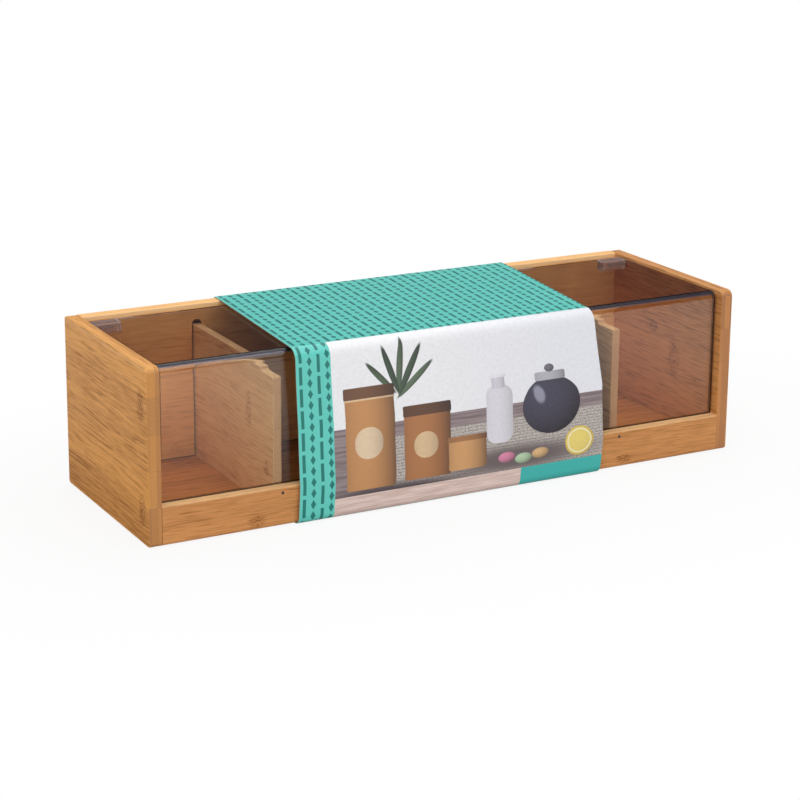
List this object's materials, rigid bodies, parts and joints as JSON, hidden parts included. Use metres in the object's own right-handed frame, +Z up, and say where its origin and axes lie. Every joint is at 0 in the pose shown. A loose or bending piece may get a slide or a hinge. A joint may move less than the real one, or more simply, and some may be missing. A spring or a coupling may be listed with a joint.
{
  "type": "tea bag box",
  "caption": "Long bamboo tea bag box: fixed dividers make open compartments under one hinged smoked acrylic lid, with a printed card sleeve that slides off.",
  "frame": {"origin": "centre of the box on the surface that it stands on, which is the underside of the card sleeve", "axes": "+X along the box towards its right end seen from the front, +Y to the rear where the lid is hinged, +Z up"},
  "size_m": [0.37, 0.1237, 0.0987],
  "materials": {
    "bamboo": "satin lacquered laminated bamboo",
    "dowel_wood": "plain beech",
    "brad_steel": "dull steel brad heads",
    "smoked_acrylic": "polished transparent grey-brown acrylic sheet",
    "clear_acrylic": "polished clear acrylic",
    "pin_steel": "plain steel pin",
    "printed_card": "satin coated printed card, about 0.45 mm thick"
  },
  "bodies": {
    "box": {"left_end_panel": "bamboo", "right_end_panel": "bamboo", "back_panel": "bamboo", "base_panel": "bamboo", "front_rail": "bamboo", "divider_1": "bamboo", "divider_2": "bamboo", "divider_3": "bamboo", "divider_4": "bamboo", "divider_brads": "brad_steel", "left_dowels": "dowel_wood", "right_dowels": "dowel_wood"},
    "lid": {"lid_panel": "smoked_acrylic", "hinge_block_left": "clear_acrylic", "hinge_block_right": "clear_acrylic", "hinge_pin_left": "pin_steel", "hinge_pin_right": "pin_steel"},
    "sleeve_rear": {"sleeve_rear": "printed_card", "sleeve_crease": "printed_card"},
    "sleeve_front": {"sleeve_front": "printed_card"}
  },
  "joints": [
    {"name": "lid_hinge", "type": "hinge", "parent": "box", "child": "lid", "pos_m": [0, 0.0413, 0.09185], "axis": [-1, 0, 0], "range_deg": [0, 105]},
    {"name": "sleeve_slide", "type": "slide", "parent": "box", "child": "sleeve_rear", "axis": [1, 0, 0], "range_m": [-0.29, 0]},
    {"name": "sleeve_fold", "type": "hinge", "parent": "sleeve_rear", "child": "sleeve_front", "pos_m": [0, 0.0413, 0.09185], "axis": [-1, 0, 0], "range_deg": [0, 105], "deforming": ["sleeve_crease"]}
  ],
  "couplings": [
    {"joint": "sleeve_fold", "follows": "lid_hinge", "ratio": 1}
  ]
}
